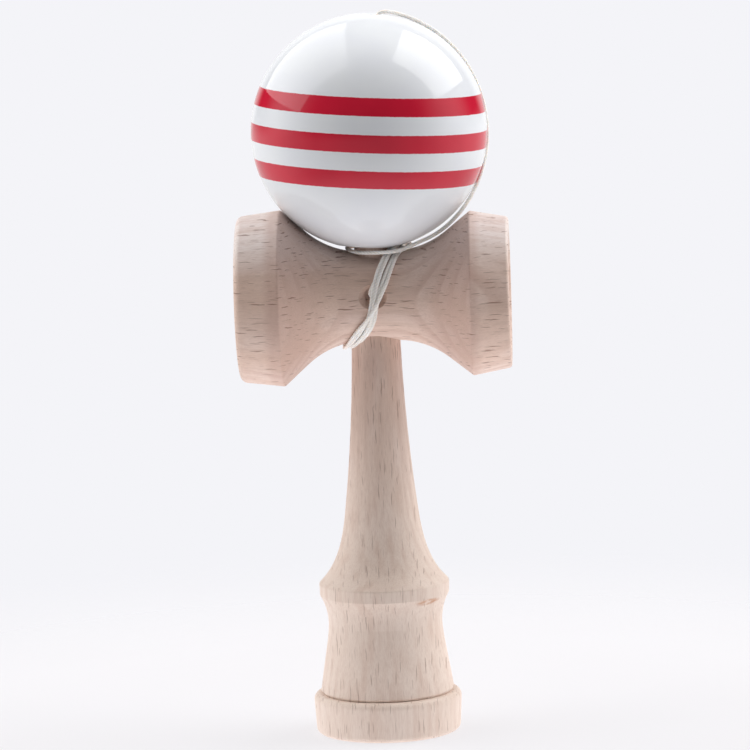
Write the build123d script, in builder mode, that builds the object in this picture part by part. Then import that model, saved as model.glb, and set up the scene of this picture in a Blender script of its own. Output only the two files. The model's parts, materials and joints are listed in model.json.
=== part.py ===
from build123d import *
from math import asin, atan2, ceil, cos, degrees, hypot, pi, radians, sin, sqrt, tan
import os

os.makedirs("parts", exist_ok=True)

# Cup and ball toy: a turned handle with a spike, a crosspiece with two cups wedged on the
# handle's taper, and a ball on the spike, tied to the crosspiece by one string.
# Millimetres, +Z up. The origin is the middle of the foot, on the surface the toy stands on.
# X runs along the crosspiece, big cup at -X. The string hole faces -Y.

# Foot and base cup of the handle
foot_radius = 18.5
foot_edge_rounding = 1.4
base_rim_radius = 19.1
base_rim_height = 10.6
base_rim_rounding = 1.7
base_cup_opening_radius = 14.8
base_cup_dish_radius = 17.5

# Body of the handle above the foot, up to the ring
ledge_wall_radius = 17.1
ledge_groove_depth = 0.35
cup_body_waist_radius = 14.6
cup_body_waist_height = 28.3
cup_body_shoulder_inset = 1.0
cup_body_shoulder_share = 0.43
cup_body_waist_swell = 0.1
cup_body_waist_share = 0.76
ring_radius = 16.7
ring_bottom_height = 35.8
ring_band_width = 3.0
ring_edge_rounding = 0.7
ring_cove_inset = 0.1

# Grip, from the ring's flare to the crosspiece
flare_length = 18.0
flare_top_inset = 4.6
flare_top_share = 0.24
flare_foot_swell = 1.0
flare_foot_share = 0.56
grip_bottom_radius = 9.45
grip_middle_radius = 7.35
grip_middle_height = 78.0
neck_radius = 6.25
neck_height = 101.2

# Taper that the crosspiece is wedged on, and the spike above it
taper_per_mm = 0.061
spike_length = 36.2
spike_tip_radius = 1.7
spike_tip_rounding = 1.5

# Crosspiece: waist, and the two cups with their flanks, corners and rims
waist_radius = 11.4
big_flank_angle = 42.0
small_flank_angle = 38.5
flank_bend_radius = 22.0
big_corner_reach = 23.4
big_corner_radius = 22.5
big_rim_reach = 34.6
big_rim_radius = 21.1
big_rim_rounding = 1.8
big_cup_opening_radius = 18.2
big_cup_dish_radius = 23.0
small_corner_reach = 24.8
small_corner_radius = 21.0
small_rim_reach = 34.6
small_rim_radius = 19.2
small_rim_rounding = 0.9
small_cup_opening_radius = 16.6
small_cup_dish_radius = 20.5
corner_rounding = 0.7
lip_rounding = 0.8

# String hole in the front of the waist, with the knot's pocket behind it
string_hole_radius = 2.1
string_hole_rise = 1.2
string_hole_depth = 2.5
string_hole_sink_radius = 3.65
throat_radius = 1.0
throat_length = 1.0
anchor_knot_radius = 1.6
anchor_knot_length = 1.95

# Ball, its spike hole, the bead inside it and the small hole out of the top
ball_radius = 30.0
ball_lean = 3.8
hole_mouth_rounding = 0.9
bead_radius = 3.2
bead_hole_radius = 0.8
bead_knot_radius = 1.4
bead_knot_length = 2.0
top_hole_radius = 1.3
top_lip_rounding = 2.2

# String
cord_radius = 0.5
full_turns = 3
turn_gap = 0.95
winding_slope = 36.0
exit_straight = 1.2
exit_front = -2.1
exit_rise = 2.3
first_front = -1.35
spike_pass_ease = 0.2
run_lift = 0.85
top_bend_drop = 0.2
top_bend_radius = 3.5

# Clearances
taper_clearance = 0.04
knot_clearance = 0.05
pocket_clearance = 0.3
ball_seat_gap = 0.5
spike_play = 0.55
tip_play = 3.3
spike_tip_gap = 0.6
bead_clearance = 0.15
bead_pocket_clearance = 0.4
cord_clearance = 0.2
cord_side_clearance = 0.3
string_joint_gap = 0.15

cord_dia = 2 * cord_radius
turn_pitch = cord_dia + turn_gap
crosspiece_height = neck_height + waist_radius
crosspiece_top = crosspiece_height + waist_radius
string_hole_height = crosspiece_height + string_hole_rise


def taper_radius(height):
    """Radius of the handle where it passes through the crosspiece."""
    return neck_radius - taper_per_mm * (height - neck_height)


def flank_start(corner_reach, corner_radius, angle):
    """Distance from the middle at which a flank, drawn straight, would meet the waist."""
    return corner_reach - (corner_radius - waist_radius) / tan(radians(angle))


big_flank_start = flank_start(big_corner_reach, big_corner_radius, big_flank_angle)
small_flank_start = flank_start(small_corner_reach, small_corner_radius, small_flank_angle)


def crosspiece_radius(x):
    """Outer radius of the crosspiece at x, from the waist out to the corner of a cup."""
    start = big_flank_start if x < 0 else small_flank_start
    angle = radians(big_flank_angle if x < 0 else small_flank_angle)
    reach = abs(x)
    bend_setback = flank_bend_radius * tan(angle / 2)
    bend_start = start - bend_setback
    bend_end = start + bend_setback * cos(angle)
    if reach <= bend_start:
        return waist_radius
    if reach <= bend_end:
        return waist_radius + flank_bend_radius - sqrt(flank_bend_radius**2 - (reach - bend_start) ** 2)
    return waist_radius + (reach - start) * tan(angle)


def seat_rise(corner_reach, corner_radius):
    """Height of the ball's centre over the crosspiece's axis when it clears one cup's corner."""
    return corner_radius + sqrt((ball_radius + ball_seat_gap) ** 2 - corner_reach**2)


def round_corner(section, point, radius):
    """Round the corner of a profile that is nearest to a point."""
    fillet(section.vertices().sort_by_distance(point)[0], radius)


spike_base_radius = taper_radius(crosspiece_top)
spike_tip_height = crosspiece_top + spike_length
ball_rise = max(
    seat_rise(big_corner_reach, big_corner_radius),
    seat_rise(small_corner_reach, small_corner_radius),
)
ball_height = crosspiece_height + ball_rise
ball_centre = Vector(0, 0, ball_height)
lean_sin = sin(radians(ball_lean))
lean_cos = cos(radians(ball_lean))
ball_plane = Plane(origin=ball_centre, x_dir=(lean_cos, 0, -lean_sin), z_dir=(0, -1, 0))
ball_axis = Axis(ball_centre, (lean_sin, 0, lean_cos))

# Heights along the ball's own axis, from its centre
tip_level = (spike_tip_height - ball_height) / lean_cos
bead_knot_bottom = tip_level + spike_tip_gap
bead_knot_top = bead_knot_bottom + bead_knot_length
bead_level = bead_knot_top + knot_clearance + bead_radius
bead_pocket_radius = bead_radius + bead_pocket_clearance
seat_level = bead_level + (bead_radius + bead_clearance) * sqrt(2)
hole_mouth_radius = spike_base_radius + ball_radius * lean_sin + spike_play
hole_end_radius = spike_tip_radius + tip_play

# Handle: one piece, turned about Z
with BuildPart() as handle:
    with BuildSketch(Plane.XZ) as handle_section:
        dish_centre = -sqrt(base_cup_dish_radius**2 - base_cup_opening_radius**2)
        dish_edge_angle = degrees(atan2(-dish_centre, base_cup_opening_radius))
        ring_top_height = ring_bottom_height + ring_band_width
        grip_bottom_height = ring_top_height + flare_length
        with BuildLine():
            dish = CenterArc((0, dish_centre), base_cup_dish_radius, 90, dish_edge_angle - 90)
            foot = Line(dish @ 1, (foot_radius, 0))
            rim = Line(foot @ 1, (base_rim_radius, base_rim_height))
            groove_bottom = (ledge_wall_radius - ledge_groove_depth, base_rim_height - ledge_groove_depth)
            ledge = Line(rim @ 1, groove_bottom)
            groove = Line(ledge @ 1, (ledge_wall_radius, base_rim_height + ledge_groove_depth))
            body_waist = (cup_body_waist_radius, cup_body_waist_height)
            body_height = cup_body_waist_height - base_rim_height
            wall = Bezier(
                groove @ 1,
                (
                    ledge_wall_radius - cup_body_shoulder_inset,
                    base_rim_height + cup_body_shoulder_share * body_height,
                ),
                (
                    cup_body_waist_radius + cup_body_waist_swell,
                    base_rim_height + cup_body_waist_share * body_height,
                ),
                body_waist,
            )
            cove = TangentArc(wall @ 1, (ring_radius - ring_cove_inset, ring_bottom_height), tangent=(0, 1))
            band = Line(cove @ 1, (ring_radius, ring_top_height))
            flare = Bezier(
                band @ 1,
                (ring_radius - flare_top_inset, ring_top_height + flare_top_share * flare_length),
                (grip_bottom_radius + flare_foot_swell, ring_top_height + flare_foot_share * flare_length),
                (grip_bottom_radius, grip_bottom_height),
            )
            grip_middle = (grip_middle_radius, grip_middle_height)
            grip = ThreePointArc(flare @ 1, grip_middle, (neck_radius, neck_height))
            taper = Line(grip @ 1, (spike_base_radius, crosspiece_top))
            spike = Line(taper @ 1, (spike_tip_radius, spike_tip_height))
            tip = Line(spike @ 1, (0, spike_tip_height))
            Line(tip @ 1, dish @ 0)
        make_face()
        round_corner(handle_section, foot @ 1, foot_edge_rounding)
        round_corner(handle_section, rim @ 1, base_rim_rounding)
        round_corner(handle_section, cove @ 1, ring_edge_rounding)
        round_corner(handle_section, band @ 1, ring_edge_rounding)
        round_corner(handle_section, spike @ 1, spike_tip_rounding)
    revolve(axis=Axis.Z)
handle.part.label = "handle"
export_step(handle.part, "parts/handle.step")

# Crosspiece: turned about its own axis along X, then bored for the handle and the string
crosspiece_plane = Plane(origin=(0, 0, crosspiece_height), x_dir=(1, 0, 0), z_dir=(0, -1, 0))
crosspiece_axis = Axis((0, 0, crosspiece_height), (1, 0, 0))
with BuildPart() as crosspiece:
    with BuildSketch(crosspiece_plane) as crosspiece_section:
        big_dish_centre = -big_rim_reach - sqrt(big_cup_dish_radius**2 - big_cup_opening_radius**2)
        small_dish_centre = small_rim_reach + sqrt(small_cup_dish_radius**2 - small_cup_opening_radius**2)
        big_dish_edge = degrees(asin(big_cup_opening_radius / big_cup_dish_radius))
        small_dish_edge = degrees(asin(small_cup_opening_radius / small_cup_dish_radius))
        with BuildLine():
            big_dish = CenterArc((big_dish_centre, 0), big_cup_dish_radius, 0, big_dish_edge)
            big_lip = Line(big_dish @ 1, (-big_rim_reach, big_rim_radius))
            big_wall = Line(big_lip @ 1, (-big_corner_reach, big_corner_radius))
            big_flank = Line(big_wall @ 1, (-big_flank_start, waist_radius))
            waist = Line(big_flank @ 1, (small_flank_start, waist_radius))
            small_flank = Line(waist @ 1, (small_corner_reach, small_corner_radius))
            small_wall = Line(small_flank @ 1, (small_rim_reach, small_rim_radius))
            small_lip = Line(small_wall @ 1, (small_rim_reach, small_cup_opening_radius))
            small_dish = CenterArc(
                (small_dish_centre, 0), small_cup_dish_radius, 180 - small_dish_edge, small_dish_edge
            )
            Line(small_dish @ 1, big_dish @ 0)
        make_face()
        round_corner(crosspiece_section, big_flank @ 1, flank_bend_radius)
        round_corner(crosspiece_section, waist @ 1, flank_bend_radius)
        round_corner(crosspiece_section, big_wall @ 1, corner_rounding)
        round_corner(crosspiece_section, small_flank @ 1, corner_rounding)
        round_corner(crosspiece_section, big_lip @ 1, big_rim_rounding)
        round_corner(crosspiece_section, small_wall @ 1, small_rim_rounding)
        round_corner(crosspiece_section, big_dish @ 1, lip_rounding)
        round_corner(crosspiece_section, small_lip @ 1, lip_rounding)
    revolve(axis=crosspiece_axis)

    # Tapered bore, past both faces of the waist
    bore_overrun = waist_radius
    bore_bottom = crosspiece_height - waist_radius - bore_overrun
    bore_top = crosspiece_top + bore_overrun
    with BuildSketch(Plane.XZ):
        with BuildLine():
            Polyline(
                (0, bore_bottom),
                (taper_radius(bore_bottom) + taper_clearance, bore_bottom),
                (taper_radius(bore_top) + taper_clearance, bore_top),
                (0, bore_top),
                close=True,
            )
        make_face()
    revolve(axis=Axis.Z, mode=Mode.SUBTRACT)

    # Countersunk string hole, its narrow throat, and the pocket that the knot is pulled into
    front_face = Plane(origin=(0, -waist_radius, string_hole_height), z_dir=(0, -1, 0))
    throat_start = waist_radius - string_hole_depth
    pocket_start = throat_start - throat_length
    pocket_radius = anchor_knot_radius + pocket_clearance
    with Locations(front_face):
        CounterSinkHole(string_hole_radius, string_hole_sink_radius, depth=string_hole_depth)
        Hole(throat_radius, depth=waist_radius)
    with BuildSketch(Plane(origin=(0, 0, string_hole_height), z_dir=(0, -1, 0))):
        Circle(pocket_radius)
    extrude(amount=pocket_start, mode=Mode.SUBTRACT)
crosspiece.part.label = "crosspiece"
export_step(crosspiece.part, "parts/crosspiece.step")

# Knot that holds the string in the crosspiece, trapped there by the handle's taper
with BuildPart() as anchor_knot:
    anchor_knot_face = pocket_start - knot_clearance
    with BuildSketch(Plane(origin=(0, -anchor_knot_face, string_hole_height), z_dir=(0, 1, 0))):
        Circle(anchor_knot_radius)
    extrude(amount=anchor_knot_length)
    fillet(anchor_knot.edges(), anchor_knot_length / 3)
anchor_knot.part.label = "anchor_knot"
export_step(anchor_knot.part, "parts/anchor_knot.step")

# Ball: turned about its own axis, which leans a little on the spike
with BuildPart() as ball:
    with BuildSketch(ball_plane) as ball_section:
        with BuildLine():
            outline = CenterArc((0, 0), ball_radius, -90, 180)
            Line(outline @ 1, outline @ 0)
        make_face()
        with BuildLine():
            Polyline(
                (0, -ball_radius - 1),
                (hole_mouth_radius, -ball_radius - 1),
                (hole_end_radius, tip_level),
                (bead_pocket_radius, tip_level + hole_end_radius - bead_pocket_radius),
                (bead_pocket_radius, seat_level - bead_pocket_radius),
                (top_hole_radius, seat_level - top_hole_radius),
                (top_hole_radius, ball_radius + 1),
                (0, ball_radius + 1),
                close=True,
            )
        make_face(mode=Mode.SUBTRACT)
        mouth_corner = (hole_mouth_radius, -sqrt(ball_radius**2 - hole_mouth_radius**2))
        top_corner = (top_hole_radius, sqrt(ball_radius**2 - top_hole_radius**2))
        round_corner(ball_section, mouth_corner, hole_mouth_rounding)
        round_corner(ball_section, top_corner, top_lip_rounding)
    revolve(axis=ball_axis)
ball.part.label = "ball"
export_step(ball.part, "parts/ball.step")

# Bead inside the ball, and the knot under it
with BuildPart() as bead:
    with BuildSketch(ball_plane):
        with BuildLine():
            half = CenterArc((0, bead_level), bead_radius, -90, 180)
            Line(half @ 1, half @ 0)
        make_face()
        with Locations((0, bead_level)):
            Rectangle(2 * bead_hole_radius, 3 * bead_radius, mode=Mode.SUBTRACT)
    revolve(axis=ball_axis)
bead.part.label = "bead"
export_step(bead.part, "parts/bead.step")


def on_ball_axis(level):
    """Point on the ball's axis, at a level measured from the ball's centre."""
    return ball_centre + Vector(lean_sin, 0, lean_cos) * level


with BuildPart() as bead_knot:
    with BuildSketch(Plane(origin=on_ball_axis(bead_knot_bottom), z_dir=(lean_sin, 0, lean_cos))):
        Circle(bead_knot_radius)
    extrude(amount=bead_knot_length)
    fillet(bead_knot.edges(), bead_knot_length / 3)
bead_knot.part.label = "bead_knot"
export_step(bead_knot.part, "parts/bead_knot.step")


def biarc(start, start_tangent, end, end_tangent):
    """Two arcs from start to end that leave and arrive along the given directions."""
    leave = Vector(*start_tangent).normalized()
    arrive = Vector(*end_tangent).normalized()
    span = end - start
    both = leave + arrive
    quadratic = 2 * leave.dot(arrive) - 2
    linear = -2 * span.dot(both)
    constant = span.dot(span)
    reach = (-linear - sqrt(linear**2 - 4 * quadratic * constant)) / (2 * quadratic)
    before = start + leave * reach
    after = end - arrive * reach
    middle = (before + after) * 0.5
    middle_tangent = (after - before).normalized()
    TangentArc(start, middle, tangent=leave)
    TangentArc(middle, end, tangent=middle_tangent)


def on_waist(x, quarter):
    """Point of the string's line on the waist: quarter 0 front, 1 top, 2 back, 3 bottom."""
    line_radius = crosspiece_radius(x) + cord_clearance + cord_radius
    angle = quarter * pi / 2
    return Vector(x, -line_radius * cos(angle), crosspiece_height + line_radius * sin(angle))


# Winding: out of the string hole, slantwise round the waist, up the front, over the top beside
# the spike, down the back and under beside the neck, then once round the spike's far side
first_top = spike_base_radius + cord_side_clearance + cord_radius
last_bottom = -(neck_radius + cord_side_clearance + cord_radius)
slope_sin = sin(radians(winding_slope))
slope_cos = cos(radians(winding_slope))
spike_pass = -(first_top + spike_pass_ease)
with BuildPart() as string_winding:
    with BuildLine() as winding_line:
        leave = Vector(slope_sin, 0, slope_cos)
        hole_point = Vector(0, -anchor_knot_face, string_hole_height)
        here, heading = hole_point + Vector(0, -exit_straight, 0), Vector(0, -1, 0)
        Line(hole_point, here)
        front_point = on_waist(exit_front, 0) + leave * exit_rise
        biarc(here, heading, front_point, leave)
        here, heading = front_point, leave
        for turn in range(full_turns + 1):
            top_x = first_top + turn * turn_pitch
            stations = [(on_waist(top_x, 1), (0, 1, 0))]
            if turn < full_turns:
                bottom_x = last_bottom - (full_turns - 1 - turn) * turn_pitch
                back_x = (top_x + bottom_x) / 2
                front_x = first_front + (turn + 1) * turn_pitch
                stations.append((on_waist(back_x, 2), (-slope_sin, 0, -slope_cos)))
                stations.append((on_waist(bottom_x, 3), (0, -1, 0)))
                stations.append((on_waist(front_x, 0), leave))
            for point, direction in stations:
                biarc(here, heading, point, direction)
                here, heading = point, direction
        around_spike = [
            (Vector(10.3, 4.4, crosspiece_top + 1.9), (-0.45, 0.89, -0.1)),
            (Vector(1.5, 8.8, crosspiece_top + 0.3), (-1, 0, 0)),
            (Vector(spike_pass, 0.3, crosspiece_top + 1.0), (0, -1, 0)),
            (Vector(-0.5, -7.0, crosspiece_top + 0.1), (1, 0, 0)),
        ]
        for point, direction in around_spike:
            biarc(here, heading, point, direction)
            here, heading = point, direction
        Line(here, here + Vector(cord_dia, 0, 0))
    winding_path = winding_line.wire()
    with BuildSketch(Plane(origin=winding_path @ 0, z_dir=winding_path % 0)):
        Circle(cord_radius)
    sweep(path=winding_path)
string_winding.part.label = "string_winding"
export_step(string_winding.part, "parts/string_winding.step")
winding_end = here + Vector(cord_dia, 0, 0)

# Run from the winding, under the ball's front, up past the small cup and over the ball's side to
# its top hole. Points are (angle from the top of the ball, distance in front of its middle)
side_points = [(164, 7.0), (144, 5.0), (122, 2.3), (98, 0.0), (73, -1.4), (48, -1.6), (21, -0.9)]
side_radius = ball_radius + cord_side_clearance + cord_radius + run_lift
run_points = [winding_end + Vector(string_joint_gap, 0, 0)]
for angle, forward in side_points:
    ring = sqrt(side_radius**2 - forward**2)
    on_side = Vector(ring * sin(radians(angle)), -forward, ring * cos(radians(angle)))
    run_points.append(ball_centre + on_side)
run_points.append(on_ball_axis(side_radius - top_bend_drop))
run_points.append(on_ball_axis(bead_knot_top))
bend_radii = []
for before, at, after in zip(run_points, run_points[1:], run_points[2:]):
    turn_angle = radians((at - before).get_angle(after - at))
    shorter = min((at - before).length, (after - at).length)
    bend_radii.append(0.45 * shorter / tan(turn_angle / 2))
bend_radii[-1] = top_bend_radius
with BuildPart() as string_ball_run:
    with BuildLine() as run_line:
        FilletPolyline(*run_points, radius=bend_radii)
    run_path = run_line.wire()
    with BuildSketch(Plane(origin=run_path @ 0, z_dir=run_path % 0)):
        Circle(cord_radius)
    sweep(path=run_path)
string_ball_run.part.label = "string_ball_run"
export_step(string_ball_run.part, "parts/string_ball_run.step")

# Measured on the finished string: bends, volume against section times length, and the winding's
# least gap to itself, on points a quarter of a cord apart and skipping its nearest neighbours
section_area = pi * cord_radius**2
winding_length = winding_path.length
run_length = run_path.length
print("bend radii of the run:", [round(radius, 1) for radius in bend_radii])
print("run length", round(run_length, 1), "volume ratio",
      round(string_ball_run.part.volume / (section_area * run_length), 4))
print("winding length", round(winding_length, 1), "volume ratio",
      round(string_winding.part.volume / (section_area * winding_length), 4))
sample_count = ceil(winding_length / (cord_dia / 4))
samples = [winding_path @ (index / sample_count) for index in range(sample_count + 1)]
skip = 5 * 4
least_gap = min(
    hypot(one.X - other.X, one.Y - other.Y, one.Z - other.Z) - cord_dia
    for index, one in enumerate(samples)
    for other in samples[index + skip:]
)
print("least gap of the winding to itself", round(least_gap, 3))
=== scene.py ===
import json
from math import cos, pi, radians, sin, sqrt

import bmesh
import bpy
from mathutils import Matrix, Vector
from mathutils.bvhtree import BVHTree


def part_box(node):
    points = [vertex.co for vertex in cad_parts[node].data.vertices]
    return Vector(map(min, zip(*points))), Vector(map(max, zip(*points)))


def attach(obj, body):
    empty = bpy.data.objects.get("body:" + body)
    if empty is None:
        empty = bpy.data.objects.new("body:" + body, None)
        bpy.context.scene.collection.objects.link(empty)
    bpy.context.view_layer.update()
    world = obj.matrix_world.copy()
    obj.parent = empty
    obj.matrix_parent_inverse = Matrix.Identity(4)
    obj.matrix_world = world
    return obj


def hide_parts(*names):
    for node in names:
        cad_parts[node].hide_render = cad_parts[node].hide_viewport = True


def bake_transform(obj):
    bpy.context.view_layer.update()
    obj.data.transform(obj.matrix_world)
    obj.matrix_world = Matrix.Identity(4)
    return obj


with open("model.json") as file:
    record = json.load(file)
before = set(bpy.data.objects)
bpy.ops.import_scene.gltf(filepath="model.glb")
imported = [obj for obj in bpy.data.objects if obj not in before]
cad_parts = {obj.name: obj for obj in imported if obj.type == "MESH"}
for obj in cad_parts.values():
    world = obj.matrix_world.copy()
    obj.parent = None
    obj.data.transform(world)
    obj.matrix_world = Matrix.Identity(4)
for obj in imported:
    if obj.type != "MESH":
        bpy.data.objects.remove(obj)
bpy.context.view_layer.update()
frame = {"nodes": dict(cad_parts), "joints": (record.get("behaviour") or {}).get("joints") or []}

# Cup and ball toy: a beech handle with a crosspiece wedged on it, a white lacquered ball with three
# red bands on the spike, and one off-white string. Metres, +Z up, as in the CAD model.
MM = 0.001

# Places read from the CAD model
cross_low, cross_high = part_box("crosspiece")
ball_low, ball_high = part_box("ball")
knot_low, knot_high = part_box("anchor_knot")
cross_height = (cross_low.z + cross_high.z) / 2
hole_rise = (knot_low.z + knot_high.z) / 2 - cross_height
ball_radius = (ball_high.x - ball_low.x) / 2
ball_spin = next(joint for joint in frame["joints"] if joint["name"] == "ball_spin")
ball_centre = Vector(ball_spin["pos_m"])
ball_axis = Vector(ball_spin["axis"]).normalized()


# Colours and nodes


def linear(code, alpha=1.0):
    """An sRGB hex colour as the linear colour that a shader takes."""
    channels = [int(code[start:start + 2], 16) / 255 for start in (1, 3, 5)]
    return [c / 12.92 if c <= 0.04045 else ((c + 0.055) / 1.055) ** 2.4 for c in channels] + [alpha]


def add(tree, kind, inputs=None, **settings):
    """A new node with its settings, and its inputs linked to sockets or set to values."""
    node = tree.nodes.new(kind)
    for name, value in settings.items():
        setattr(node, name, value)
    for key, value in (inputs or {}).items():
        if isinstance(value, bpy.types.NodeSocket):
            tree.links.new(value, node.inputs[key])
        else:
            node.inputs[key].default_value = value
    return node


def maths(tree, operation, one, other=0.0):
    """The result of a Math node."""
    return add(tree, "ShaderNodeMath", {0: one, 1: other}, operation=operation).outputs[0]


def vector_maths(tree, operation, one, other=(0, 0, 0)):
    """The result of a Vector Math node."""
    node = add(tree, "ShaderNodeVectorMath", {0: one, 1: other}, operation=operation)
    return node.outputs["Value" if operation in ("LENGTH", "DOT_PRODUCT") else "Vector"]


def spread(tree, value, low, high, to_low=0.0, to_high=1.0):
    """A value stretched from one range to another, smoothly and without overshoot."""
    inputs = {"Value": value, "From Min": low, "From Max": high, "To Min": to_low, "To Max": to_high}
    return add(tree, "ShaderNodeMapRange", inputs, interpolation_type="SMOOTHSTEP").outputs[0]


def blend_colour(tree, share, one, other, mode="MIX"):
    """One colour mixed with another."""
    inputs = {"Factor": share, "A": one, "B": other}
    return add(tree, "ShaderNodeMix", inputs, data_type="RGBA", blend_type=mode).outputs["Result"]


def new_material(name):
    """An empty material with its surface shader."""
    material = bpy.data.materials.new(name)
    material.use_nodes = True
    return material, material.node_tree, material.node_tree.nodes["Principled BSDF"]


def noise(tree, place, size, detail=2.0, roughness=0.5):
    """Noise with its grain size in the units of the place."""
    scaled = vector_maths(tree, "DIVIDE", place, size)
    inputs = {"Vector": scaled, "Scale": 1.0, "Detail": detail, "Roughness": roughness}
    return add(tree, "ShaderNodeTexNoise", inputs)


def wander(tree, place, size, reach):
    """A smooth vector that wanders over a distance, up to about a quarter of its reach each way."""
    colour = noise(tree, place, size, detail=1.0).outputs["Color"]
    return vector_maths(tree, "MULTIPLY", vector_maths(tree, "SUBTRACT", colour, (0.5, 0.5, 0.5)), reach)


def flecks(tree, place, cell, half_size):
    """Mask of lens-shaped dashes, at most one in each cell, all lengths up to the full one."""
    scaled = vector_maths(tree, "DIVIDE", place, cell)
    cells = add(tree, "ShaderNodeTexVoronoi", {"Vector": scaled, "Scale": 1.0, "Randomness": 0.9})
    offset = vector_maths(tree, "SUBTRACT", scaled, cells.outputs["Position"])
    share = tuple(one / half for one, half in zip(cell, half_size))
    distance = vector_maths(tree, "LENGTH", vector_maths(tree, "MULTIPLY", offset, share))
    chance = add(tree, "ShaderNodeSeparateColor", {"Color": cells.outputs["Color"]})
    reach = spread(tree, chance.outputs["Red"], 0.0, 1.0, 0.5, 1.0)
    return maths(tree, "SUBTRACT", 1.0, spread(tree, maths(tree, "DIVIDE", distance, reach), 0.6, 1.05))


# Bare turned beech: faint growth rings cut by the turned shape, wavy fibre along the grain, and the
# short dark ray flecks that beech has
def beech(name, grain_turn, pith, ring_pitch, fleck_strength, painted_light_by_height=None, painted_flank_shade=False, stain=None):
    material, tree, shader = new_material(name)
    place = add(tree, "ShaderNodeTexCoord").outputs["Object"]
    inputs = {"Vector": place, "Rotation": grain_turn, "Scale": (1000, 1000, 1000)}
    millimetres = add(tree, "ShaderNodeMapping", inputs).outputs["Vector"]
    sway = wander(tree, millimetres, (60, 24, 24), (0, 1.6, 1.6))
    waved = vector_maths(tree, "ADD", millimetres, sway)

    from_pith = vector_maths(tree, "SUBTRACT", waved, (0, *pith))
    from_pith = vector_maths(tree, "MULTIPLY", from_pith, (0.012, 1, 1))
    rings = maths(tree, "DIVIDE", vector_maths(tree, "LENGTH", from_pith), ring_pitch)
    ring = maths(tree, "FRACT", rings)
    late = maths(tree, "SUBTRACT", spread(tree, ring, 0.25, 0.86), spread(tree, ring, 0.88, 1.0))

    stripe = noise(tree, waved, (60, 1.6, 1.6), detail=3.0).outputs["Fac"]
    cloud = noise(tree, millimetres, (26, 11, 11)).outputs["Fac"]
    fibre = noise(tree, waved, (5.0, 0.22, 0.22), detail=3.0, roughness=0.6).outputs["Fac"]
    speck = noise(tree, millimetres, (0.7, 0.25, 0.25)).outputs["Fac"]
    rippled = vector_maths(tree, "ADD", waved, wander(tree, millimetres, (3.0, 1.6, 1.6), (0, 0.6, 0.6)))
    long_flecks = flecks(tree, rippled, (6.5, 2.4, 2.0), (3.0, 1.25, 0.17))
    between = vector_maths(tree, "ADD", rippled, (31, 17, 5))
    more_flecks = flecks(tree, between, (5.2, 2.0, 2.3), (2.3, 1.0, 0.15))
    short_flecks = flecks(tree, vector_maths(tree, "ADD", rippled, (7, 43, 11)), (3.0, 1.1, 1.0), (1.0, 0.4, 0.1))
    patches = spread(tree, noise(tree, millimetres, (15, 8, 8)).outputs["Fac"], 0.36, 0.56, 0.45, 1.0)
    dashes = maths(tree, "MAXIMUM", long_flecks, maths(tree, "MULTIPLY", more_flecks, 0.8))
    dashes = maths(tree, "MAXIMUM", dashes, maths(tree, "MULTIPLY", short_flecks, 0.35))
    dashes = maths(tree, "MULTIPLY", dashes, patches)

    colour = blend_colour(tree, late, linear("#e6cec2"), linear("#d6b9ac"))
    colour = blend_colour(tree, spread(tree, cloud, 0.35, 0.68), colour, linear("#dfc2b2"))
    # Painted light: over a range of heights the wood is mixed towards a paler colour, where more light falls on
    # it
    if painted_light_by_height:
        start, end, strength, painted_light_colour = painted_light_by_height
        level = add(tree, "ShaderNodeSeparateXYZ", {"Vector": place}).outputs["Z"]
        painted_light_share = spread(tree, level, start * MM, end * MM, 0.0, strength)
        colour = blend_colour(tree, painted_light_share, colour, linear(painted_light_colour))
    # Painted shade: the flanks between the middle and the cups, 9 to 28 mm out, are darkened where the cups and
    # the ball shade them
    if painted_flank_shade:
        outward = maths(tree, "ABSOLUTE", add(tree, "ShaderNodeSeparateXYZ", {"Vector": waved}).outputs["X"])
        dark = maths(tree, "SUBTRACT", spread(tree, outward, 9.0, 20.0), spread(tree, outward, 25.0, 28.0))
        colour = blend_colour(tree, maths(tree, "MULTIPLY", dark, 0.48), colour, linear("#c29d90"))
    colour = blend_colour(tree, spread(tree, stripe, 0.42, 0.75, 0.0, 0.4), colour, linear("#c8aa99"))
    colour = blend_colour(tree, spread(tree, fibre, 0.35, 0.75, 0.0, 0.28), colour, linear("#b9998a"))
    colour = blend_colour(tree, spread(tree, speck, 0.55, 0.8, 0.0, 0.25), colour, linear("#f0e2d6"))
    colour = blend_colour(tree, maths(tree, "MULTIPLY", dashes, fleck_strength), colour, linear("#86604f"))
    if stain:
        from_stain = vector_maths(tree, "SUBTRACT", place, tuple(Vector(stain) * MM))
        from_stain = vector_maths(tree, "MULTIPLY", from_stain, (190, 190, 900))
        broken = noise(tree, millimetres, (0.6, 2.2, 2.2)).outputs["Fac"]
        near = spread(tree, vector_maths(tree, "LENGTH", from_stain), 0.35, 1.0, 1.0, 0.0)
        share = maths(tree, "MULTIPLY", near, spread(tree, broken, 0.4, 0.6, 0.15, 0.8))
        colour = blend_colour(tree, share, colour, linear("#b9835f"))
    tree.links.new(colour, shader.inputs["Base Color"])
    shader.inputs["Specular IOR Level"].default_value = 0.45
    tree.links.new(spread(tree, fibre, 0.3, 0.7, 0.5, 0.64), shader.inputs["Roughness"])

    height = maths(tree, "MULTIPLY", fibre, 0.35)
    height = maths(tree, "SUBTRACT", height, maths(tree, "MULTIPLY", dashes, 0.5))
    height = maths(tree, "ADD", height, maths(tree, "MULTIPLY", late, 0.25))
    bump = add(tree, "ShaderNodeBump", {"Height": height, "Strength": 0.35, "Distance": 0.06 * MM})
    tree.links.new(bump.outputs["Normal"], shader.inputs["Normal"])
    return material


# Gloss lacquer over a turned wooden ball: cool white with three painted crimson bands square to the
# ball's own axis, and the faint unevenness of a sprayed coat
BAND_PITCH = 9.1
BAND_WIDTH = 4.5
BAND_MIDDLE = -0.65


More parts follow.
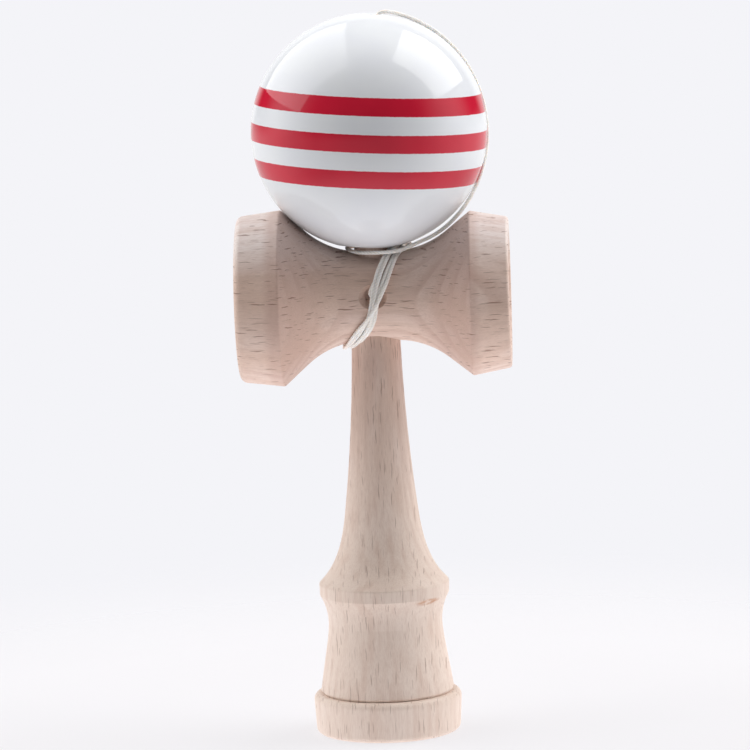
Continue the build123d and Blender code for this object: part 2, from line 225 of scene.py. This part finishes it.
def lacquer():
    material, tree, shader = new_material("white_gloss_lacquer")
    place = add(tree, "ShaderNodeTexCoord").outputs["Object"]
    from_centre = vector_maths(tree, "SUBTRACT", place, tuple(ball_centre))
    millimetres = vector_maths(tree, "MULTIPLY", from_centre, (1000, 1000, 1000))
    level = vector_maths(tree, "DOT_PRODUCT", millimetres, tuple(ball_axis))
    ragged = maths(tree, "SUBTRACT", noise(tree, millimetres, (1.3, 1.3, 1.3)).outputs["Fac"], 0.5)
    level = maths(tree, "ADD", level, maths(tree, "MULTIPLY", ragged, 0.16))
    from_middle = maths(tree, "SUBTRACT", level, BAND_MIDDLE)
    nearest = maths(tree, "ROUND", maths(tree, "DIVIDE", from_middle, BAND_PITCH))
    nearest = maths(tree, "MINIMUM", maths(tree, "MAXIMUM", nearest, -1.0), 1.0)
    band_place = maths(tree, "MULTIPLY", nearest, BAND_PITCH)
    from_band = maths(tree, "ABSOLUTE", maths(tree, "SUBTRACT", from_middle, band_place))
    painted = maths(tree, "SUBTRACT", 1.0, spread(tree, from_band, BAND_WIDTH / 2 - 0.1, BAND_WIDTH / 2 + 0.1))

    mottle = noise(tree, millimetres, (14, 14, 14), detail=3.0).outputs["Fac"]
    white = blend_colour(tree, spread(tree, mottle, 0.3, 0.7), linear("#eceef1"), linear("#e8eaef"))
    red = blend_colour(tree, spread(tree, mottle, 0.3, 0.7), linear("#d2253d"), linear("#c92139"))
    tree.links.new(blend_colour(tree, painted, white, red), shader.inputs["Base Color"])
    shader.inputs["Roughness"].default_value = 0.06
    shader.inputs["Specular IOR Level"].default_value = 0.34

    orange_peel = noise(tree, millimetres, (3.5, 3.5, 3.5), detail=1.0).outputs["Fac"]
    height = maths(tree, "ADD", maths(tree, "MULTIPLY", orange_peel, 0.25), painted)
    bump = add(tree, "ShaderNodeBump", {"Height": height, "Strength": 0.4, "Distance": 0.02 * MM})
    tree.links.new(bump.outputs["Normal"], shader.inputs["Normal"])
    return material


# Off-white twisted cotton string: fine fibre along the strands, and painted shade, a little grey, in the grooves
def string_cotton():
    material, tree, shader = new_material("off_white_cotton_string")
    place = add(tree, "ShaderNodeTexCoord").outputs["Object"]
    millimetres = vector_maths(tree, "MULTIPLY", place, (1000, 1000, 1000))
    fuzz = noise(tree, millimetres, (0.09, 0.09, 0.09), detail=3.0).outputs["Fac"]
    patch = noise(tree, millimetres, (3.0, 3.0, 3.0)).outputs["Fac"]
    groove_shade = add(tree, "ShaderNodeAttribute", attribute_name="groove_shade").outputs["Fac"]
    colour = blend_colour(tree, spread(tree, patch, 0.3, 0.7), linear("#fffbf6"), linear("#faf5ef"))
    colour = blend_colour(tree, spread(tree, fuzz, 0.45, 0.7, 0.0, 0.25), colour, linear("#e6ddd3"))
    # Painted shade: greyer in the grooves between the strands
    colour = blend_colour(tree, maths(tree, "MULTIPLY", groove_shade, 0.3), colour, linear("#c9bfb6"))
    tree.links.new(colour, shader.inputs["Base Color"])
    shader.inputs["Roughness"].default_value = 0.85
    shader.inputs["Specular IOR Level"].default_value = 0.2
    shader.inputs["Sheen Weight"].default_value = 0.25
    shader.inputs["Subsurface Weight"].default_value = 0.6
    shader.inputs["Subsurface Radius"].default_value = (1.0, 0.9, 0.8)
    shader.inputs["Subsurface Scale"].default_value = 0.6 * MM
    bump = add(tree, "ShaderNodeBump", {"Height": fuzz, "Strength": 0.5, "Distance": 0.03 * MM})
    tree.links.new(bump.outputs["Normal"], shader.inputs["Normal"])
    return material


# Pale studio floor of opal sheet, lit a little from below, fading into the background behind the toy
FLOOR_FADE_START = 0.12
FLOOR_FADE_END = 0.27
FLOOR_GLOW = 1.2
FLOOR_SEEN = 0.65


def studio_floor():
    material, tree, shader = new_material("opal_studio_sheet")
    place = add(tree, "ShaderNodeTexCoord").outputs["Object"]
    mottle = noise(tree, place, (0.05, 0.05, 0.05)).outputs["Fac"]
    white = blend_colour(tree, mottle, linear("#7d7b7c"), linear("#7f7e80"))
    tree.links.new(white, shader.inputs["Base Color"])
    shader.inputs["Emission Color"].default_value = linear("#fbfafd")
    seen = add(tree, "ShaderNodeLightPath").outputs["Is Camera Ray"]
    glow = add(tree, "ShaderNodeMapRange", {"Value": seen, "To Min": FLOOR_GLOW, "To Max": FLOOR_SEEN})
    tree.links.new(glow.outputs[0], shader.inputs["Emission Strength"])
    shader.inputs["Roughness"].default_value = 0.7
    shader.inputs["Specular IOR Level"].default_value = 0.15
    distance = vector_maths(tree, "LENGTH", place)
    clear = add(tree, "ShaderNodeBsdfTransparent")
    share = spread(tree, distance, FLOOR_FADE_START, FLOOR_FADE_END)
    mixed = add(tree, "ShaderNodeMixShader", {0: share, 1: shader.outputs[0], 2: clear.outputs[0]})
    output = tree.nodes["Material Output"]
    tree.links.new(mixed.outputs[0], output.inputs["Surface"])
    return material


def give(piece, material):
    """Puts one material in every slot of a piece."""
    piece.data.materials.clear()
    piece.data.materials.append(material)


string_material = string_cotton()
handle = frame["nodes"]["handle"]
crosspiece = frame["nodes"]["crosspiece"]
ball = frame["nodes"]["ball"]
bead = frame["nodes"]["bead"]
RING_STAIN = (11.3, -10.8, 35.1)
# Painted light: the handle is painted paler and greyer towards its foot, below 105 mm, where it is brightly lit
give(handle, beech("beech_handle", (0, radians(90), 0), (34, 7), 2.3, 0.5, (105, 42, 0.75, "#e1d2c5"), stain=RING_STAIN))
middle = cross_height / MM
# Painted light: the crosspiece's upper cup walls are painted paler, for the light from above
cross_painted_light = (middle + 6, middle + 17, 0.9, "#efe5e1")
# Painted shade: the True turns on the darkened flanks of the crosspiece
give(crosspiece, beech("beech_crosspiece", (0, 0, 0), (39.4, middle + 3), 2.6, 0.8, cross_painted_light, True))
give(ball, lacquer())
give(bead, beech("beech_bead", (0, radians(90), 0), (12, 3), 1.5, 0.4))

# String: one spline from the knot inside the crosspiece to the knot under the bead
CORD_DIAMETER = 1.0 * MM
LAPS = 4
POINTS_PER_LAP = 24

crosspiece_tree = BVHTree.FromObject(crosspiece, bpy.context.evaluated_depsgraph_get())


def surface_radius(x):
    """Radius of the turned crosspiece at x, read on its back, where it has no hole."""
    outside = Vector((x, 40 * MM, cross_height))
    return crosspiece_tree.ray_cast(outside, Vector((0, -1, 0)))[0].y


def smooth(table, at, column=1):
    """Value in a column of a table at a place in its first column, on a smooth line through its rows."""
    at = min(max(at, table[1][0]), table[-2][0])
    index = max(row for row in range(1, len(table) - 2) if table[row][0] <= at)
    before, low, high, after = table[index - 1:index + 3]
    width = high[0] - low[0]
    slope_in = (high[column] - before[column]) / (high[0] - before[0]) * width
    slope_out = (after[column] - low[column]) / (after[0] - low[0]) * width
    share = (at - low[0]) / width
    back = 1 - share
    start = low[column] * (1 + 2 * share) + slope_in * share
    end = high[column] * (3 - 2 * share) - slope_out * back
    return back * back * start + share * share * end


def all_round(table):
    """A table over one turn, in degrees, with the rows that it needs before and after."""
    return [(angle + 360 * turn, *values) for turn in (-1, 0, 1) for angle, *values in table]


# Where the middle of the bunch of laps lies along the crosspiece, and the pitch of its laps, in mm,
# by the angle round the crosspiece in degrees: 0 front, 90 top beside the spike, 180 back, 270 below
bunch = all_round([
    (5, 0.9, 0.76), (20, 1.9, 0.98), (36, 2.95, 1.02), (48, 3.9, 0.96), (63, 4.85, 0.85),
    (90, 7.1, 0.95), (125, 6.2, 1.0), (180, -0.3, 1.0), (235, -6.2, 0.85), (270, -7.0, 0.75),
    (290, -5.6, 0.9), (306, -4.2, 1.05), (319, -2.7, 1.1), (333, -1.06, 1.0), (349, 0.2, 0.82),
])
# How the string is laid: degrees turned since the front, place in the bunch counted in laps from its
# middle, and height in mm over the wood. The last lap crosses over the others at the front
lay = [
    (0, -1.0, 0.0), (24, -1.0, 0.0), (50, -1.0, 0.0), (90, -1.0, 0.0), (150, -1.2, 0.0),
    (210, -0.9, 0.0), (270, -0.5, 0.0), (320, -0.5, 0.0), (345, -1.0, 0.0), (365, -1.5, 0.0),
    (385, -1.5, 0.35), (405, -1.5, 0.8), (450, -1.5, 0.8), (500, -1.0, 0.8), (540, -0.2, 0.6),
    (565, 0.1, 0.0), (630, 0.5, 0.6), (680, 0.5, 0.3), (705, 0.0, 0.25), (725, -0.5, 0.35),
    (756, -0.5, 0.6), (780, -0.5, 0.8), (810, -0.5, 0.8), (870, 0.2, 0.5), (920, 1.0, 0.0),
    (990, 1.5, 0.0), (1040, 1.5, 0.0), (1065, 1.0, 0.0), (1085, 0.5, 0.0), (1116, 0.5, 0.0),
    (1170, 0.5, 0.0), (1210, 0.5, 0.3), (1240, -0.2, 1.0), (1280, -1.0, 1.0), (1310, -1.5, 0.6),
    (1350, -1.5, 0.6), (1400, -1.5, 0.0), (1412, -1.3, 0.5), (1425, -0.5, 1.0), (1436, 0.5, 1.05),
    (1446, 1.4, 0.6), (1460, 1.5, 0.0), (1490, 1.5, 0.0), (1530, 1.5, 0.0), (1570, 1.5, 0.0),
]


def winding_point(turned):
    """Point of the winding after so many degrees, counted from the front where it starts."""
    angle = turned % 360
    uneven = 0.1 * sin(radians(turned * 2.3))
    x = (smooth(bunch, angle) + (smooth(lay, turned) + uneven) * smooth(bunch, angle, 2)) * MM
    lift = (0.05 + smooth(lay, turned, 2)) * MM
    radius = (surface_radius(x) + CORD_DIAMETER / 2 + lift) / cos(pi / POINTS_PER_LAP)
    return Vector((x, -radius * cos(radians(angle)), cross_height + radius * sin(radians(angle))))


def by_ball_axis(level, out=0.0):
    """Point at a level in mm along the ball's axis from its centre, so many mm out to the right."""
    right = Vector((ball_axis.z, 0, -ball_axis.x))
    return ball_centre + (ball_axis * level + right * out) * MM


def beside_ball(angle, forward, gap):
    """Point at an angle from the top of the ball, so many mm in front of its middle and off its skin."""
    reach = ball_radius / MM + gap
    ring = sqrt(reach**2 - forward**2)
    return ball_centre + Vector((ring * sin(radians(angle)), -forward, ring * cos(radians(angle)))) * MM


waist_radius = surface_radius(0.0)
cross_top = cross_height + waist_radius
out_of_hole = [
    (0, -7.85, 0), (0, -9.0, 0), (-0.35, -10.1, -0.05), (-0.7, -10.95, 0.4), (-0.45, -11.15, 1.5),
    (0.3, -10.95, 3.0), (1.0, -10.75, 4.1),
]
round_spike = [
    (9.9, 3.6, 1.3), (8.2, 7.4, 1.0), (3.0, 8.9, 0.6), (-3.4, 8.3, 0.5), (-6.9, 4.6, 0.8),
    (-6.5, -0.8, 0.9), (-5.0, -5.0, 0.6), (-2.0, -7.3, 0.45), (1.5, -7.9, 0.45), (5.2, -7.7, 0.55),
    (8.4, -6.8, 1.1),
]
up_side = [
    (159, 5.6, 1.0), (150, 4.2, 1.2), (141, 2.6, 1.2), (130, 0.4, 1.0), (119, -2.0, 0.8), (108, -4.2, 0.75),
    (96, -6.0, 0.75), (84, -7.2, 0.75), (72, -7.6, 0.75), (60, -7.4, 0.75), (48, -6.6, 0.75),
    (36, -5.4, 0.75), (24, -3.8, 0.75), (14, -2.0, 0.75),
]

route = []
for x, y, z in out_of_hole:
    route.append(Vector((x, y, hole_rise / MM + z)) * MM + Vector((0, 0, cross_height)))
first_turned = 36
last_turned = 360 * LAPS + 90
for step in range(int((last_turned - first_turned) * POINTS_PER_LAP / 360) + 1):
    route.append(winding_point(first_turned + step * 360 / POINTS_PER_LAP))
route += [Vector((x, y, z)) * MM + Vector((0, 0, cross_top)) for x, y, z in round_spike]
route += [beside_ball(angle, forward, gap) for angle, forward, gap in up_side]
route += [by_ball_axis(30.55, 2.9), by_ball_axis(29.9, 1.1), by_ball_axis(27.6, 0.5), by_ball_axis(23.0)]
route.append(by_ball_axis(9.0))


def spline(name, points):
    """A smooth open NURBS curve with these control points."""
    data = bpy.data.curves.new(name, "CURVE")
    data.dimensions = "3D"
    data.resolution_u = 10
    line = data.splines.new("NURBS")
    line.points.add(len(points) - 1)
    for control, point in zip(line.points, points):
        control.co = (*point, 1)
    line.order_u = 3
    line.use_endpoint_u = True
    return bpy.data.objects.new(name, data)


def points_along(curve):
    """The points that Blender puts along a curve with no thickness."""
    mesh = bpy.data.meshes.new_from_object(curve)
    points = [vertex.co.copy() for vertex in mesh.vertices]
    bpy.data.meshes.remove(mesh)
    return points


def evenly(points, step):
    """The same line with points a fixed step apart."""
    spaced, since = [points[0]], 0.0
    for before, after in zip(points, points[1:]):
        length = (after - before).length
        while length > 0 and since + length >= step:
            before = before.lerp(after, (step - since) / length)
            length = (after - before).length
            since = 0.0
            spaced.append(before)
        since += length
    return spaced


def twisted_tube(name, points, diameter, twist_pitch, strands=3, sides=18, groove_depth=0.13):
    """A cord laid of a few strands: a tube whose grooved section turns as it goes along."""
    built = bmesh.new()
    groove_shade = built.verts.layers.float.new("groove_shade")
    side_axis = (points[1] - points[0]).orthogonal().normalized()
    rings, travelled = [], 0.0
    for index, point in enumerate(points):
        ahead = (points[min(index + 1, len(points) - 1)] - points[max(index - 1, 0)]).normalized()
        side_axis = (side_axis - ahead * side_axis.dot(ahead)).normalized()
        up_axis = ahead.cross(side_axis)
        if index:
            travelled += (point - points[index - 1]).length
        turn = 2 * pi * travelled / twist_pitch
        ring = []
        for side in range(sides):
            angle = 2 * pi * side / sides
            in_groove = 0.5 - 0.5 * cos(strands * (angle - turn))
            reach = diameter / 2 * (1 - groove_depth * in_groove**2)
            vertex = built.verts.new(point + (side_axis * cos(angle) + up_axis * sin(angle)) * reach)
            vertex[groove_shade] = in_groove**3
            ring.append(vertex)
        rings.append(ring)
    for one, other in zip(rings, rings[1:]):
        for side in range(sides):
            after = (side + 1) % sides
            built.faces.new((one[side], one[after], other[after], other[side]))
    built.faces.new(reversed(rings[0]))
    built.faces.new(rings[-1])
    data = bpy.data.meshes.new(name)
    built.to_mesh(data)
    built.free()
    data.shade_smooth()
    return bpy.data.objects.new(name, data)


def show(piece):
    bpy.context.scene.collection.objects.link(piece)
    return piece


cord_line = points_along(spline("cord_line", route))
cord = show(twisted_tube("string", evenly(cord_line, 0.28 * MM), CORD_DIAMETER, 2.6 * MM))
give(cord, string_material)
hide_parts("string_winding", "string_ball_run")
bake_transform(cord)


def knot(name, node, body, axis):
    """A small overhand knot of the string, drawn tight, that fills the box of a CAD node."""
    low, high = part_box(node)
    middle = (low + high) / 2
    turn = Vector((0, 0, 1)).rotation_difference(axis).to_matrix()
    across = 1.15 * MM
    points = []
    for step in range(97):
        angle = 2 * pi * (0.04 + 0.92 * step / 96)
        flat = Vector((sin(angle) + 2 * sin(2 * angle), cos(angle) - 2 * cos(2 * angle), 0)) / 3
        points.append(middle + turn @ (flat * across * 0.75 + Vector((0, 0, -sin(3 * angle) * 0.42 * MM))))
    piece = show(twisted_tube(name, points, 0.9 * MM, 2.6 * MM, sides=12))
    give(piece, string_material)
    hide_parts(node)
    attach(piece, body)
    return piece


knots = [
    knot("knot_in_crosspiece", "anchor_knot", "crosspiece_body", Vector((0, -1, 0))),
    knot("knot_under_bead", "bead_knot", "bead_body", ball_axis),
]

# Floor, background and light


floor_data = bpy.data.meshes.new("floor")
floor_build = bmesh.new()
bmesh.ops.create_circle(floor_build, cap_ends=True, segments=96, radius=2.0)
floor_build.to_mesh(floor_data)
floor_build.free()
floor = show(bpy.data.objects.new("floor", floor_data))
give(floor, studio_floor())


def softbox(name, toward, distance, slide, size, radiance):
    """A square diffused light that faces a direction, slid sideways from it, away from the camera."""
    data = bpy.data.lights.new(name, "AREA")
    data.shape = "RECTANGLE"
    data.size, data.size_y = size
    data.energy = radiance * pi * size[0] * size[1]
    light = show(bpy.data.objects.new(name, data))
    toward = Vector(toward).normalized()
    light.location = Vector((0, slide, 0.13)) + toward * distance
    light.rotation_mode = "QUATERNION"
    light.rotation_quaternion = toward.to_track_quat("Z", "Y")


softbox("right_softbox", (0.67, 0.0, 0.74), 1.0, 0.38, (1.12, 0.82), 3.6)
softbox("left_softbox", (-0.67, 0.0, 0.74), 1.1, 0.5, (1.8, 1.2), 1.9)


def studio_world():
    """Bright overhead and straight behind, dark in front, with light off the floor all round."""
    world = bpy.data.worlds.new("studio")
    world.use_nodes = True
    bpy.context.scene.world = world
    tree = world.node_tree
    background = tree.nodes["Background"]
    direction = add(tree, "ShaderNodeTexCoord").outputs["Generated"]
    along = add(tree, "ShaderNodeSeparateXYZ", {"Vector": direction})
    from_front = spread(tree, along.outputs["Y"], -0.6, 0.0)
    from_back = spread(tree, along.outputs["Y"], 0.1, 0.6, 1.12, 0.0)
    overhead = maths(tree, "MULTIPLY", from_front, from_back)
    off_floor = spread(tree, along.outputs["Y"], -0.6, 0.1, 0.56, 0.92)
    level = spread(tree, along.outputs["Z"], -0.1, 0.1, off_floor, overhead)
    sideways = maths(tree, "ABSOLUTE", along.outputs["X"])
    level = maths(tree, "ADD", level, spread(tree, sideways, 0.75, 0.98, 0.0, 0.3))
    level = maths(tree, "MAXIMUM", level, spread(tree, along.outputs["Y"], 0.75, 0.92, 0.0, 0.9))
    ambient = add(tree, "ShaderNodeCombineColor", {"Red": level, "Green": level, "Blue": level}).outputs[0]
    path = add(tree, "ShaderNodeLightPath")
    seen = blend_colour(tree, path.outputs["Is Camera Ray"], ambient, linear("#f4f4f8"))
    tree.links.new(seen, background.inputs["Color"])


studio_world()

# Camera: a long lens from a little above, rolled slightly, as the toy leans in the photograph
IMAGE_WIDTH = 750
FOCAL_PIXELS = 4740
CAMERA_DISTANCE = 1.2
CAMERA_HEIGHT = 0.256
CAMERA_AZIMUTH = 2.5
CAMERA_PITCH = 7.772
CAMERA_PAN = 0.027
CAMERA_ROLL = -1.95

camera_data = bpy.data.cameras.new("camera")
camera_data.sensor_width = 36
camera_data.lens = FOCAL_PIXELS / IMAGE_WIDTH * camera_data.sensor_width
camera_data.clip_start, camera_data.clip_end = 0.05, 20
camera = show(bpy.data.objects.new("camera", camera_data))
azimuth = radians(CAMERA_AZIMUTH)
camera.location = (CAMERA_DISTANCE * sin(azimuth), -CAMERA_DISTANCE * cos(azimuth), CAMERA_HEIGHT)
turn = (
    Matrix.Rotation(azimuth + radians(CAMERA_PAN), 3, "Z")
    @ Matrix.Rotation(radians(90 - CAMERA_PITCH), 3, "X")
    @ Matrix.Rotation(radians(CAMERA_ROLL), 3, "Z")
)
camera.rotation_mode = "QUATERNION"
camera.rotation_quaternion = turn.to_quaternion()
bpy.context.scene.camera = camera
bpy.context.scene.view_settings.view_transform = "Standard"
